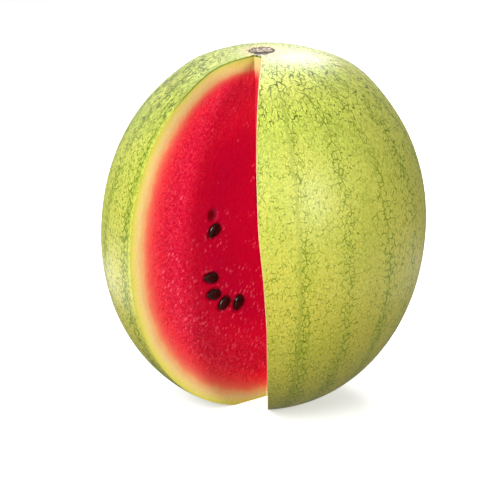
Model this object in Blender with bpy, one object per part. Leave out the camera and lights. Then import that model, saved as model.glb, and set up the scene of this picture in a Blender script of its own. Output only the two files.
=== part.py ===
"""A watermelon with a wedge cut out of it, standing on a small flat spot at its blossom end.

Metres, +Z up. The origin is the middle of the footprint, on the surface that the melon stands on.
The wedge opens towards -Y and -X. Shapes are worked out round the melon's centre and then lifted.
"""

import math
import random

import bmesh
import bpy
from mathutils import Matrix, Vector

MM = 0.001

# The fruit: round in plan, a little longer than wide, fuller than an ellipsoid, its length leaning to +X.
HALF_WIDTH = 115.0 * MM
HALF_LENGTH = 131.3 * MM
FULLNESS = 2.08
LEAN = math.radians(7.0)
CENTRE_HEIGHT = 127.5 * MM
MERIDIANS = 56
PARALLELS = 34

# The shoulders grew a little fuller, the right one more. Each has a rise, a polar angle from the top, an
# azimuth from the front towards +X, and a spread. The stem sits in a slight dimple between them.
SHOULDERS = (
    (2.6 * MM, math.radians(29), math.radians(95), math.radians(11.5)),
    (1.4 * MM, math.radians(20.5), math.radians(-95), math.radians(7.5)),
)
DIMPLE_DEPTH = 1.7 * MM
DIMPLE_SPREAD = math.radians(9)

# The corky scar that the stalk left, and the socket in the skin that holds it.
SCAR_POLAR = math.radians(3.6)
SCAR_WIDTH = 18.4 * MM
SCAR_LENGTH = 16.2 * MM
SCAR_THICKNESS = 3.0 * MM
SCAR_PROUD = 0.5 * MM
# Rings of its face from the edge inwards: share of its radius, and height over its rim.
SCAR_RINGS = ((0.86, 0.5 * MM), (0.70, 0.0), (0.42, 0.5 * MM), (0.16, 0.0))
SOCKET_GAP = 0.3 * MM
SCAR_SIDES = 28

# The left cut is a flat plane: its azimuth from the front, and how far in front of the centre it passes.
LEFT_AZIMUTH = math.radians(-53.8)
LEFT_OFFSET = 4.8 * MM
# The right cut bows a little. Towards the stem the tip of the wedge is blunt, and the flesh beside it,
# from TEAR_START inwards, tore off in front of the left plane. Each row gives, in millimetres:
# height above the centre, x of the right cut, width of the blunt tip, depth of the torn flesh.
NOTCH_ROWS = (
    (-150.0, 2.0, 0.8, 0.0),
    (-40.0, 1.6, 0.8, 0.0),
    (-4.0, -0.3, 0.8, 0.0),
    (30.0, -3.4, 0.8, 0.0),
    (66.0, -4.2, 0.8, 0.0),
    (90.0, -3.8, 1.0, 2.5),
    (106.0, -3.0, 1.4, 5.0),
    (118.0, -1.8, 3.2, 7.0),
    (129.4, 0.7, 6.1, 8.5),
    (150.0, 0.7, 6.1, 8.5),
)
BLUNT_SLANT = 0.8
TEAR_START = -38.0 * MM
NOTCH_REACH = 200.0 * MM

# Seeds: flat drops that point outwards, in a row about halfway between the heart and the rind.
SEED_LENGTH = 11.6 * MM
SEED_WIDTH = 7.6 * MM
SEED_THICKNESS = 3.4 * MM
SEED_SIDES = 8
SEED_RINGS = 6
SEED_TAPER = 0.3
SEED_POINT = 0.15
SEED_ROW = 0.48
SEED_SCATTER = 0.05
SEED_TURN = math.radians(50)
SEED_DRAW = 7
# The one seed that shows between the centre and the left rim, turned as it lies, and the pocket over it.
LONE_SEED_POLAR = math.radians(81.7)
LONE_SEED_ROW = 0.40
LONE_SEED_TURN = math.radians(52)
POCKET_POLAR = math.radians(68.9)
POCKET_ROW = 0.43
POCKET_HEIGHT = 11.4 * MM
POCKET_WIDTH = 9.0 * MM
POCKET_DEPTH = 5.0 * MM
# Polar angles of the first and the last seed of each hidden row, and how many seeds it has.
LEFT_ROW = (math.radians(119), math.radians(153), 4)
RIGHT_ROW = (math.radians(34), math.radians(150), 12)

SHARP_ANGLE = math.radians(35)
SKIN_COLOUR = (0.56, 0.66, 0.15, 1)
FLESH_COLOUR = (0.62, 0.02, 0.04, 1)
SEED_COLOUR = (0.02, 0.012, 0.008, 1)
CORK_COLOUR = (0.30, 0.22, 0.15, 1)

UP = Vector((0, 0, 1))
LEFT_OUT = Vector((math.sin(LEFT_AZIMUTH), -math.cos(LEFT_AZIMUTH), 0))
LEFT_NORMAL = Vector((-LEFT_OUT.y, LEFT_OUT.x, 0))
RIGHT_OUT = Vector((0, -1, 0))
RIGHT_NORMAL = Vector((-1, 0, 0))


def clear_scene():
    for old in list(bpy.data.objects):
        bpy.data.objects.remove(old)


def material(name, colour, roughness):
    finish = bpy.data.materials.new(name)
    finish.use_nodes = True
    finish.diffuse_color = colour
    shader = finish.node_tree.nodes["Principled BSDF"]
    shader.inputs["Base Color"].default_value = colour
    shader.inputs["Roughness"].default_value = roughness
    shader.inputs["Metallic"].default_value = 0.0
    return finish


def object_from(name, bm, finish):
    """An object at the melon's centre, from a bmesh whose shape is worked out round that centre."""
    bmesh.ops.recalc_face_normals(bm, faces=bm.faces)
    mesh = bpy.data.meshes.new(name)
    bm.to_mesh(mesh)
    bm.free()
    mesh.materials.append(finish)
    made = bpy.data.objects.new(name, mesh)
    made.location.z = CENTRE_HEIGHT
    bpy.context.scene.collection.objects.link(made)
    return made


def boolean(target, operation, tools):
    """Join or cut with a list of objects at once, apply the result, and remove those objects."""
    group = bpy.data.collections.new(target.name + "_tools")
    bpy.context.scene.collection.children.link(group)
    for tool in tools:
        group.objects.link(tool)
        tool.hide_render = True
        tool.display_type = "WIRE"
    change = target.modifiers.new(operation.lower(), "BOOLEAN")
    change.operation = operation
    change.operand_type = "COLLECTION"
    change.collection = group
    change.solver = "EXACT"
    change.material_mode = "TRANSFER"
    bpy.context.view_layer.update()
    graph = bpy.context.evaluated_depsgraph_get()
    applied = bpy.data.meshes.new_from_object(target.evaluated_get(graph))
    target.modifiers.clear()
    target.data = applied
    for tool in tools:
        bpy.data.objects.remove(tool)
    bpy.data.collections.remove(group)


def direction(polar, azimuth):
    """The unit direction at a polar angle from +Z and an azimuth from -Y towards +X."""
    flat = math.sin(polar)
    return Vector((flat * math.sin(azimuth), -flat * math.cos(azimuth), math.cos(polar)))


def bump(towards, middle, spread):
    """1 in the middle of a swelling, falling smoothly to 0 with the angle from it."""
    return math.exp(-((towards.angle(middle) / spread) ** 2))


def skin_radius(towards):
    """How far the skin is from the centre in a unit direction."""
    leaned = Matrix.Rotation(-LEAN, 3, "Y") @ towards
    across = math.hypot(leaned.x, leaned.y) / HALF_WIDTH
    along = abs(leaned.z) / HALF_LENGTH
    radius = (across**FULLNESS + along**FULLNESS) ** (-1 / FULLNESS)
    for rise, polar, azimuth, spread in SHOULDERS:
        radius += rise * bump(towards, direction(polar, azimuth), spread)
    radius -= DIMPLE_DEPTH * bump(towards, direction(SCAR_POLAR, 0), DIMPLE_SPREAD)
    return radius


def whole_fruit(finish):
    bm = bmesh.new()
    bmesh.ops.create_uvsphere(bm, u_segments=MERIDIANS, v_segments=PARALLELS, radius=1)
    for vert in bm.verts:
        towards = vert.co.normalized()
        vert.co = towards * skin_radius(towards)
    ground = Vector((0, 0, -CENTRE_HEIGHT))
    everything = bm.verts[:] + bm.edges[:] + bm.faces[:]
    cut = bmesh.ops.bisect_plane(bm, geom=everything, plane_co=ground, plane_no=-UP, clear_outer=True)
    rim = [item for item in cut["geom_cut"] if isinstance(item, bmesh.types.BMEdge)]
    bmesh.ops.contextual_create(bm, geom=rim)
    bmesh.ops.triangulate(bm, faces=[face for face in bm.faces if len(face.verts) == 4])
    return object_from("melon", bm, finish)


def left_plane_y(x):
    """The y of the left cut's plane at an x."""
    return (LEFT_OFFSET - LEFT_NORMAL.x * x) / LEFT_NORMAL.y


def notch_section(row):
    """The wedge's outline at one height: out along the left cut, over the blunt tip, out along the right."""
    height, blade_x, blunt, tear = (value * MM for value in row)
    tip_x = blade_x - blunt
    tip_y = left_plane_y(tip_x) - tear
    far_left = LEFT_NORMAL * LEFT_OFFSET + LEFT_OUT * NOTCH_REACH
    outline = (
        (far_left.x, far_left.y),
        (TEAR_START, left_plane_y(TEAR_START)),
        (tip_x, tip_y),
        (blade_x, tip_y - BLUNT_SLANT * blunt),
        (blade_x, -NOTCH_REACH),
    )
    return [Vector((x, y, height)) for x, y in outline]


def extruded(bm, cap, keep=False):
    """Extrude one face and return the new one. The old face stays only where it closes an end."""
    made = bmesh.ops.extrude_face_region(bm, geom=[cap])["geom"]
    if not keep:
        bm.faces.remove(cap)
    return next(item for item in made if isinstance(item, bmesh.types.BMFace))


def wedge_cutter(finish):
    bm = bmesh.new()
    cap = bm.faces.new([bm.verts.new(point) for point in notch_section(NOTCH_ROWS[0])])
    for number, row in enumerate(NOTCH_ROWS[1:]):
        cap = extruded(bm, cap, keep=number == 0)
        for vert, point in zip(cap.verts, notch_section(row)):
            vert.co = point
    bmesh.ops.triangulate(bm, faces=bm.faces)
    return object_from("wedge", bm, finish)


def seed(name, at, normal, long_axis, finish):
    """A flat drop half sunk in a cut face, its narrow end along long_axis."""
    bm = bmesh.new()
    bmesh.ops.create_uvsphere(bm, u_segments=SEED_SIDES, v_segments=SEED_RINGS, radius=1)
    for vert in bm.verts:
        vert.co = Vector((vert.co.z, vert.co.x, vert.co.y))
        narrow = 1 - SEED_TAPER * vert.co.x - SEED_POINT * vert.co.x**2
        vert.co.y *= narrow
        vert.co.z *= narrow
    half = Matrix.Diagonal((SEED_LENGTH / 2, SEED_WIDTH / 2, SEED_THICKNESS / 2, 1))
    turn = Matrix((long_axis, normal.cross(long_axis), normal)).transposed().to_4x4()
    bmesh.ops.transform(bm, matrix=Matrix.Translation(at) @ turn @ half, verts=bm.verts)
    return object_from(name, bm, finish)


def on_cut(out, polar, row):
    """A point on a cut face: the direction there, and row times the skin's distance along it."""
    towards = out * math.sin(polar) + UP * math.cos(polar)
    return towards, towards * skin_radius(towards) * row


def turned(out, towards, angle):
    """A direction in the plane of out and UP, turned from towards by an angle downwards."""
    down = towards.cross(out.cross(UP)).normalized()
    return (towards * math.cos(angle) + down * math.sin(angle)).normalized()


def left_seed(name, polar, row, angle, finish):
    towards, at = on_cut(LEFT_OUT, polar, row)
    at += LEFT_NORMAL * LEFT_OFFSET
    return seed(name, at, LEFT_NORMAL, turned(LEFT_OUT, towards, angle), finish)


def right_cut_x(height):
    """The x of the right cut at a height above the centre, between the rows of the notch."""
    rows = [[value * MM for value in row] for row in NOTCH_ROWS]
    for low, high in zip(rows, rows[1:]):
        if height <= high[0]:
            share = (height - low[0]) / (high[0] - low[0])
            return low[1] + share * (high[1] - low[1])
    return rows[-1][1]


def all_seeds(finish):
    draw = random.Random(SEED_DRAW)
    seeds = [left_seed("seed_lone", LONE_SEED_POLAR, LONE_SEED_ROW, LONE_SEED_TURN, finish)]
    first, last, count = LEFT_ROW
    for i in range(count):
        polar = first + (last - first) * i / (count - 1)
        row = SEED_ROW + draw.uniform(-SEED_SCATTER, SEED_SCATTER)
        seeds.append(left_seed(f"seed_left_{i}", polar, row, draw.uniform(-SEED_TURN, SEED_TURN), finish))
    first, last, count = RIGHT_ROW
    for i in range(count):
        polar = first + (last - first) * i / (count - 1)
        row = SEED_ROW + draw.uniform(-SEED_SCATTER, SEED_SCATTER)
        towards, at = on_cut(RIGHT_OUT, polar, row)
        at.x = right_cut_x(at.z)
        long_axis = turned(RIGHT_OUT, towards, draw.uniform(-SEED_TURN, SEED_TURN))
        seeds.append(seed(f"seed_right_{i}", at, RIGHT_NORMAL, long_axis, finish))
    return seeds


def seed_pocket(finish):
    """A shallow hollow in the left cut, where a seed has dropped out."""
    at = on_cut(LEFT_OUT, POCKET_POLAR, POCKET_ROW)[1]
    at += LEFT_NORMAL * LEFT_OFFSET
    bm = bmesh.new()
    bmesh.ops.create_uvsphere(bm, u_segments=10, v_segments=6, radius=0.5)
    turn = Matrix((LEFT_OUT, UP, LEFT_NORMAL)).transposed().to_4x4()
    size = Matrix.Diagonal((POCKET_WIDTH, POCKET_HEIGHT, POCKET_DEPTH, 1))
    bmesh.ops.transform(bm, matrix=Matrix.Translation(at) @ turn @ size, verts=bm.verts)
    return object_from("pocket", bm, finish)


def scar_place():
    """The matrix of the scar's own frame: its middle on the skin, its Z straight out of the skin."""
    towards = direction(SCAR_POLAR, 0)
    step = math.radians(0.5)
    middle = towards * skin_radius(towards)
    right = direction(SCAR_POLAR, 0) + Vector((step, 0, 0))
    front = direction(SCAR_POLAR + step, 0)
    right.normalize()
    across = (right * skin_radius(right) - middle).normalized()
    forward = (front * skin_radius(front) - middle).normalized()
    normal = forward.cross(across).normalized()
    turn = Matrix((across, normal.cross(across), normal)).transposed().to_4x4()
    return Matrix.Translation(middle) @ turn


def disc(width, length, low, high):
    """A bmesh of an oval disc between two heights, made of SCAR_SIDES sides."""
    bm = bmesh.new()
    spread = Matrix.Diagonal((width, length, high - low, 1))
    place = Matrix.Translation((0, 0, (low + high) / 2)) @ spread
    bmesh.ops.create_cone(
        bm, cap_ends=True, segments=SCAR_SIDES, radius1=0.5, radius2=0.5, depth=1, matrix=place
    )
    return bm


def scar_socket(finish):
    wide = SCAR_WIDTH + 2 * SOCKET_GAP
    long = SCAR_LENGTH + 2 * SOCKET_GAP
    bm = disc(wide, long, -SCAR_THICKNESS - SOCKET_GAP, SCAR_THICKNESS)
    bmesh.ops.transform(bm, matrix=scar_place(), verts=bm.verts)
    return object_from("socket", bm, finish)


def stem_scar(finish):
    """The scar: a thin cork disc with a low rim, a raised ring and a pit where the strands ran."""
    bm = disc(SCAR_WIDTH, SCAR_LENGTH, -SCAR_THICKNESS, SCAR_PROUD)
    top = max(bm.faces, key=lambda face: face.calc_center_median().z)
    for share, lift in SCAR_RINGS:
        top = extruded(bm, top)
        for vert in top.verts:
            flat = Vector((vert.co.x, vert.co.y)).normalized()
            vert.co.x = flat.x * SCAR_WIDTH / 2 * share
            vert.co.y = flat.y * SCAR_LENGTH / 2 * share
            vert.co.z = SCAR_PROUD + lift
    bmesh.ops.transform(bm, matrix=scar_place(), verts=bm.verts)
    return object_from("stem_scar", bm, finish)


def shade_round(made):
    made.data.shade_smooth()
    made.data.set_sharp_from_angle(angle=SHARP_ANGLE)


def build():
    clear_scene()
    skin = material("melon_skin", SKIN_COLOUR, 0.38)
    flesh = material("melon_flesh", FLESH_COLOUR, 0.35)
    seed_coat = material("seed_coat", SEED_COLOUR, 0.25)
    cork = material("stem_cork", CORK_COLOUR, 0.85)
    melon = whole_fruit(skin)
    boolean(melon, "DIFFERENCE", [wedge_cutter(flesh), scar_socket(skin)])
    boolean(melon, "DIFFERENCE", [seed_pocket(flesh)])
    boolean(melon, "UNION", all_seeds(seed_coat))
    scar = stem_scar(cork)
    for made in (melon, scar):
        shade_round(made)


build()
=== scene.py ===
# %% [markdown]
# A watermelon stands on its blossom end with a wedge cut out of its front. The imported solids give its
# place and size, and this lesson gives it its looks. It has four finishes: waxy skin, wet flesh, glossy
# seeds and the corky scar where the stalk came off. Each gets its own cells: first what it is on the
# real fruit and how it could be made, then short code that makes it and prints what came out.

# %% The frame
import math
import random

import bmesh
import bpy
import numpy as np
from mathutils import Matrix, Vector, noise


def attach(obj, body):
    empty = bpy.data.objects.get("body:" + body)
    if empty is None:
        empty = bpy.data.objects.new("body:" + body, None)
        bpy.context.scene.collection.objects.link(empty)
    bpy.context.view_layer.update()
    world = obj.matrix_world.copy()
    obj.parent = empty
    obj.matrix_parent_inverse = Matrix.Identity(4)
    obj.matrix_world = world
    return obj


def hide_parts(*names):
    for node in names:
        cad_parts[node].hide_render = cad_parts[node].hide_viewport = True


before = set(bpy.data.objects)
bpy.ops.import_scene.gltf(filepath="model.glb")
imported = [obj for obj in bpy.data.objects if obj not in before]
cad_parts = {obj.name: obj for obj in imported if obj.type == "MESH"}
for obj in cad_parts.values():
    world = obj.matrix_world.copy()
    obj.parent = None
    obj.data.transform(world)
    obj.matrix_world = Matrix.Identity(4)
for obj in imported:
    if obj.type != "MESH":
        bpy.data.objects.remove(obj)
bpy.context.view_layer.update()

MM = 0.001

# %% [markdown]
# The camera comes before the shapes, so that every try can be held against the photograph. A long lens
# from a little above was used there: the far rim of the fruit is hardly smaller than the near one. The
# view is aimed at the middle of the fruit, and the shift then slides the picture so that the fruit
# stands where it does in the photograph, without changing its perspective.

# %% Camera
MIDDLE_HEIGHT = 127.5
FRUIT_CENTRE = Vector((0, 0, MIDDLE_HEIGHT * MM))
VIEW_HEIGHT = math.radians(17)
VIEW_DISTANCE = 1.3
VIEW_ROLL = math.radians(-0.573)
PICTURE = 500
# In the photograph: pixels to a millimetre at the fruit, and the pixel where the fruit's centre is.
PIXELS_PER_MM = 1.404
FRUIT_PIXEL = (263.3, 226.8)

eye = bpy.data.cameras.new("camera")
eye.sensor_width = 36
eye.lens = PIXELS_PER_MM / MM * VIEW_DISTANCE * eye.sensor_width / PICTURE
eye.shift_x = (PICTURE / 2 - FRUIT_PIXEL[0]) / PICTURE
eye.shift_y = (FRUIT_PIXEL[1] - PICTURE / 2) / PICTURE
camera = bpy.data.objects.new("camera", eye)
bpy.context.scene.collection.objects.link(camera)
towards_eye = Vector((0, -math.cos(VIEW_HEIGHT), math.sin(VIEW_HEIGHT)))
aim = (-towards_eye).to_track_quat("-Z", "Y").to_matrix() @ Matrix.Rotation(VIEW_ROLL, 3, "Z")
camera.matrix_world = Matrix.Translation(FRUIT_CENTRE + towards_eye * VIEW_DISTANCE) @ aim.to_4x4()
bpy.context.scene.camera = camera
print("lens in mm:", round(eye.lens, 1), "shift:", round(eye.shift_x, 4), round(eye.shift_y, 4))

# %% [markdown]
# A few small helpers serve every finish. Colours are easiest to pick as the hex values that an image
# editor shows, but shaders work in linear light, so one function turns the first into the second.
# Another adds a node, sets it up and links it in one line, which keeps a long node tree readable. The
# rest start a finish, set its plain values, and give the place on a piece in millimetres.

# %% Colours and nodes


def colour(hex_value):
    """Linear RGBA from an sRGB hex value such as "c8d45a"."""
    parts = [int(hex_value[i : i + 2], 16) / 255 for i in (0, 2, 4)]
    return [p / 12.92 if p <= 0.04045 else ((p + 0.055) / 1.055) ** 2.4 for p in parts] + [1]


def add(tree, kind, sockets=None, stops=None, **settings):
    """Add a shader node, with its settings, its sockets' values or links, and a ramp's colour stops."""
    made = tree.nodes.new("ShaderNode" + kind)
    for name, value in settings.items():
        setattr(made, name, value)
    for name, value in (sockets or {}).items():
        if isinstance(value, bpy.types.NodeSocket):
            tree.links.new(value, made.inputs[name])
        else:
            made.inputs[name].default_value = value
    for number, (place, shade) in enumerate(stops or []):
        ramp = made.color_ramp.elements
        stop = ramp[number] if number < 2 else ramp.new(place)
        stop.position = place
        stop.color = colour(shade)
    return made


def new_finish(name):
    """A material with a bare Principled shader: the material, its node tree and the shader."""
    finish = bpy.data.materials.new(name)
    finish.use_nodes = True
    return finish, finish.node_tree, finish.node_tree.nodes["Principled BSDF"]


def set_values(shader, values):
    """Set sockets of a shader to plain values."""
    for name, value in values.items():
        shader.inputs[name].default_value = value


def place_in_mm(tree):
    """The point on the piece in millimetres, so that every pattern's scale is one over its size."""
    where = add(tree, "TexCoord").outputs["Object"]
    return add(tree, "VectorMath", {0: where, "Scale": 1 / MM}, operation="SCALE").outputs[0]


print("white as linear light:", colour("ffffff"))

# %% [markdown]
# The photograph shows the fruit on bright white. A large softbox at the front left models the form,
# a narrow upright one at the front right leaves the soft gleam beside the cut, a small one high behind
# puts the white glare on the shoulder, and a wide one overhead lightens the crown. Area lights make
# softboxes whose reflections have a size, where a point or a sun lamp would leave a hard dot. The table
# is white acrylic that is lit a little from below, as product tables are, so that it stays white. It is
# kept out of the fruit's own light and gloss, which white cards give instead, because each of them can
# be set by itself: one stands behind the fruit, and two lie beside it and brighten its lower sides.

# %% Softboxes and cards
# Azimuth and height in degrees, distance and size in metres, power in watts.
SOFTBOXES = {
    "softbox_front_left": (-35, 30, 1.7, (0.9, 0.9), 30.3),
    "softbox_front_right": (34, 19, 1.6, (0.24, 0.5), 11.5),
    "softbox_back": (168.6, 38, 1.5, (0.46, 0.34), 10),
    "softbox_overhead": (-150, 62, 1.6, (0.8, 0.8), 15),
    "white_card_behind": (-168, 26, 1.2, (2.0, 1.0), 3.6),
}
# The two cards that lie on the table: their size, and how far aside and forward of the fruit they are.
CARD_SIZE = (0.4, 0.6)
CARD_ASIDE = 0.42
CARD_FORWARD = 0.05


def softbox(name, azimuth, height, distance, size, power):
    """An area light at an azimuth from the front (towards +X) and a height in degrees, facing the fruit."""
    lamp = bpy.data.lights.new(name, "AREA")
    lamp.shape = "RECTANGLE"
    lamp.size, lamp.size_y = size
    lamp.energy = power
    holder = bpy.data.objects.new(name, lamp)
    bpy.context.scene.collection.objects.link(holder)
    turn, lift = math.radians(azimuth), math.radians(height)
    flat = math.cos(lift)
    outwards = Vector((flat * math.sin(turn), -flat * math.cos(turn), math.sin(lift)))
    holder.location = FRUIT_CENTRE + outwards * distance
    holder.rotation_euler = outwards.to_track_quat("Z", "Y").to_euler()
    return holder


for name, setting in SOFTBOXES.items():
    softbox(name, *setting)
bpy.data.objects["white_card_behind"].visible_camera = False
for name, side, power in (("white_card_left", -1, 1.6), ("white_card_right", 1, 0.5)):
    card = softbox(name, 0, 0, 1, CARD_SIZE, power)
    card.visible_camera = False
    card.location = (side * CARD_ASIDE, -CARD_FORWARD, MM)
    card.rotation_euler = (math.pi, 0, 0)

# %% Room and table
TABLE_SIZE = 8.0
TABLE_GLOW = 0.42
ROOM_STRENGTH = 0.25
surroundings = bpy.data.worlds.new("white_room")
surroundings.use_nodes = True
background = surroundings.node_tree.nodes["Background"]
set_values(background, {"Color": colour("ffffff"), "Strength": ROOM_STRENGTH})
bpy.context.scene.world = surroundings
bpy.context.scene.view_settings.view_transform = "Standard"

table_shape = bmesh.new()
bmesh.ops.create_grid(table_shape, x_segments=1, y_segments=1, size=TABLE_SIZE / 2)
table_mesh = bpy.data.meshes.new("table")
table_shape.to_mesh(table_mesh)
table_shape.free()
table = bpy.data.objects.new("table", table_mesh)
bpy.context.scene.collection.objects.link(table)
table_finish, _, table_shader = new_finish("white_acrylic_table")
set_values(table_shader, {"Base Color": colour("f2f2f2"), "Roughness": 0.6})
set_values(table_shader, {"Emission Color": colour("ffffff"), "Emission Strength": TABLE_GLOW})
table_mesh.materials.append(table_finish)
table.visible_diffuse = False
table.visible_glossy = False
print("table:", TABLE_SIZE, "m wide")

# %% [markdown]
# A melon is round in plan and slightly longer than wide, and its ends are a little blunter than an
# ellipsoid's. A superellipse with an exponent just over 2 says exactly that in one line. On top of it
# come two gentle swellings of the shoulders and the dimple round the stem, and the whole fruit leans a
# little to the right. The numbers are those of the solids, so the fine surface lies on the plain one.
# Angles are measured from the fruit's centre: polar from straight up, azimuth from the front towards
# the right.

# %% The fruit's form
HALF_WIDTH = 115.0
HALF_LENGTH = 131.3
FULLNESS = 2.08
LEAN = math.radians(7.0)
# Height in millimetres, then polar angle, azimuth and spread in degrees, of each swelling.
SHOULDERS = ((2.6, 29, 95, 11.5), (1.4, 20.5, -95, 7.5))
DIMPLE_DEPTH = 1.7
DIMPLE_SPREAD = math.radians(9)
SCAR_POLAR = 3.6


def direction(polar, azimuth):
    """The unit direction at a polar angle and an azimuth, both in degrees."""
    lift, turn = math.radians(polar), math.radians(azimuth)
    flat = math.sin(lift)
    return np.array([flat * math.sin(turn), -flat * math.cos(turn), math.cos(lift)])


def swelling(towards, middle, spread):
    """1 in the middle of a swelling, falling smoothly to 0 with the angle from it."""
    angle = np.arccos(np.clip(towards @ middle, -1, 1))
    return np.exp(-((angle / spread) ** 2))


def skin_radius(towards):
    """Millimetres from the fruit's centre to its skin, for rows of unit directions."""
    leaned_x = towards[:, 0] * math.cos(LEAN) - towards[:, 2] * math.sin(LEAN)
    leaned_z = towards[:, 0] * math.sin(LEAN) + towards[:, 2] * math.cos(LEAN)
    across = np.hypot(leaned_x, towards[:, 1]) / HALF_WIDTH
    along = np.abs(leaned_z) / HALF_LENGTH
    radius = (across**FULLNESS + along**FULLNESS) ** (-1 / FULLNESS)
    for bulge, polar, azimuth, spread in SHOULDERS:
        radius += bulge * swelling(towards, direction(polar, azimuth), math.radians(spread))
    return radius - DIMPLE_DEPTH * swelling(towards, direction(SCAR_POLAR, 0), DIMPLE_SPREAD)


def mesh_points(mesh):
    """The vertices of a mesh as rows of millimetres from the fruit's centre."""
    flat = np.empty(len(mesh.vertices) * 3)
    mesh.vertices.foreach_get("co", flat)
    return flat.reshape(-1, 3) / MM - np.array(FRUIT_CENTRE) / MM


def set_mesh_points(mesh, points):
    """Move the vertices of a mesh to rows of millimetres from the fruit's centre."""
    mesh.vertices.foreach_set("co", ((points + np.array(FRUIT_CENTRE) / MM) * MM).ravel())
    mesh.update()


def set_attribute(mesh, name, values):
    """Store one number, or a row of three, for every vertex, for a material to read."""
    kind, field = ("FLOAT", "value") if values.ndim == 1 else ("FLOAT_VECTOR", "vector")
    mesh.attributes.new(name, kind, "POINT").data.foreach_set(field, values.ravel().astype(np.float32))


def depth_under_skin(points):
    """How deep each point lies under the skin, in millimetres."""
    distance = np.linalg.norm(points, axis=1)
    return skin_radius(points / distance[:, None]) - distance


print("half height at the axis in mm:", round(float(skin_radius(direction(0, 0)[None])[0]), 1))

# %% [markdown]
# The scar of the stalk sits a few degrees in front of the top, on skin that slopes. Its own frame is
# worked out before the finishes, because the skin round it is stained by how far a place is from it. A
# small step along the skin to the right and one to the front give the slope, and with it the direction
# straight out of the skin.

# %% Where the stem scar sits
SCAR_WIDTH = 18.4
SCAR_LENGTH = 16.2


def scar_place():
    """The matrix of the scar's own frame in millimetres: its middle on the skin, its Z out of the skin."""
    step = 0.5
    there = direction(SCAR_POLAR, 0)
    right = there + np.array([math.radians(step), 0, 0])
    front = direction(SCAR_POLAR + step, 0)
    rows = np.array([there, right / np.linalg.norm(right), front])
    middle, right, front = [Vector(p) for p in rows * skin_radius(rows)[:, None]]
    across = (right - middle).normalized()
    normal = (front - middle).cross(across).normalized()
    turn = Matrix((across, normal.cross(across), normal)).transposed().to_4x4()
    return Matrix.Translation(middle) @ turn


def share_of_scar(points):
    """0 in the middle of the scar, 1 on its rim and more outside it, for points near the top."""
    to_scar = np.array(scar_place().inverted())
    beside = points @ to_scar[:3, :3].T + to_scar[:3, 3]
    share = np.hypot(beside[:, 0] / (SCAR_WIDTH / 2), beside[:, 1] / (SCAR_LENGTH / 2))
    return np.where(points[:, 2] > 0, share, 9)


print("scar at:", [round(v, 1) for v in scar_place().translation])

# %% [markdown]
# A body of fruit starts as an icosphere, whose triangles are the same size all over, where a UV sphere
# crowds them at its poles, just where the scar is. Every vertex is then pushed out to the skin, or to a
# little under it. The base is pressed flat on the table, as the soft blossom end is.

# %% Fruit bodies
GROUND = -MIDDLE_HEIGHT


def link_mesh(name, mesh):
    """Put a mesh into the scene as an object."""
    made = bpy.data.objects.new(name, mesh)
    bpy.context.scene.collection.objects.link(made)
    return made


def fruit_body(name, levels, inset):
    """A closed body whose surface lies inset millimetres under the skin."""
    bm = bmesh.new()
    bmesh.ops.create_icosphere(bm, subdivisions=levels, radius=1)
    mesh = bpy.data.meshes.new(name)
    bm.to_mesh(mesh)
    bm.free()
    flat = np.empty(len(mesh.vertices) * 3)
    mesh.vertices.foreach_get("co", flat)
    towards = flat.reshape(-1, 3)
    towards /= np.linalg.norm(towards, axis=1)[:, None]
    points = towards * (skin_radius(towards) - inset)[:, None]
    points[:, 2] = np.maximum(points[:, 2], GROUND + inset)
    set_mesh_points(mesh, points)
    return link_mesh(name, mesh)


def boolean(target, operation, tool):
    """Cut or join, apply the result, and remove the tool."""
    change = target.modifiers.new(operation.lower(), "BOOLEAN")
    change.operation = operation
    change.object = tool
    change.solver = "MANIFOLD"
    bpy.context.view_layer.update()
    seen = target.evaluated_get(bpy.context.evaluated_depsgraph_get())
    old, target.data = target.data, bpy.data.meshes.new_from_object(seen)
    target.modifiers.clear()
    bpy.data.meshes.remove(old)
    bpy.data.objects.remove(tool)


SKIN_THICKNESS = 1.2
SKIN_LEVELS = 7
FLESH_LEVELS = 6
skin = fruit_body("melon_skin", SKIN_LEVELS, 0)
boolean(skin, "DIFFERENCE", fruit_body("skin_inside", FLESH_LEVELS, SKIN_THICKNESS))
flesh = fruit_body("melon_flesh", FLESH_LEVELS, SKIN_THICKNESS)
print("skin faces:", len(skin.data.polygons), "flesh faces:", len(flesh.data.polygons))

# %% [markdown]
# Each seed lies flat in its cut face, in a loose row that runs about halfway between heart and rind. The
# places follow the rule of the solids, with the same number to start the random draws, so that each fine
# seed lies on its plain one. They are needed before the cut is made, because the flesh dips round every
# seed.

# %% Where the seeds lie
LEFT_AZIMUTH = math.radians(-53.8)
LEFT_OFFSET = 4.8
LEFT_OUT = Vector((math.sin(LEFT_AZIMUTH), -math.cos(LEFT_AZIMUTH), 0))
LEFT_NORMAL = Vector((-LEFT_OUT.y, LEFT_OUT.x, 0))
RIGHT_OUT = Vector((0, -1, 0))
RIGHT_NORMAL = Vector((-1, 0, 0))
UP = Vector((0, 0, 1))
# Height above the centre, x of the right cut, width of the blunt tip, depth of the torn flesh.
NOTCH_ROWS = (
    (-150.0, 2.0, 0.8, 0.0),
    (-40.0, 1.6, 0.8, 0.0),
    (-4.0, -0.3, 0.8, 0.0),
    (30.0, -3.4, 0.8, 0.0),
    (66.0, -4.2, 0.8, 0.0),
    (90.0, -3.8, 1.0, 2.5),
    (106.0, -3.0, 1.4, 5.0),
    (118.0, -1.8, 3.2, 7.0),
    (129.4, 0.7, 6.1, 8.5),
    (150.0, 0.7, 6.1, 8.5),
)
# The row's share of the way to the skin, how far a seed strays from it, and how far it turns in degrees.
SEED_ROW = 0.48
SEED_SCATTER = 0.05
SEED_TURN = 50
# The seed in view: polar angle, share of the way to the skin, and turn.
LONE_SEED = (81.7, 0.40, 52)
# First and last polar angle of each face's row, and how many seeds it has.
LEFT_ROW = (119, 153, 4)
RIGHT_ROW = (34, 150, 12)


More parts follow.
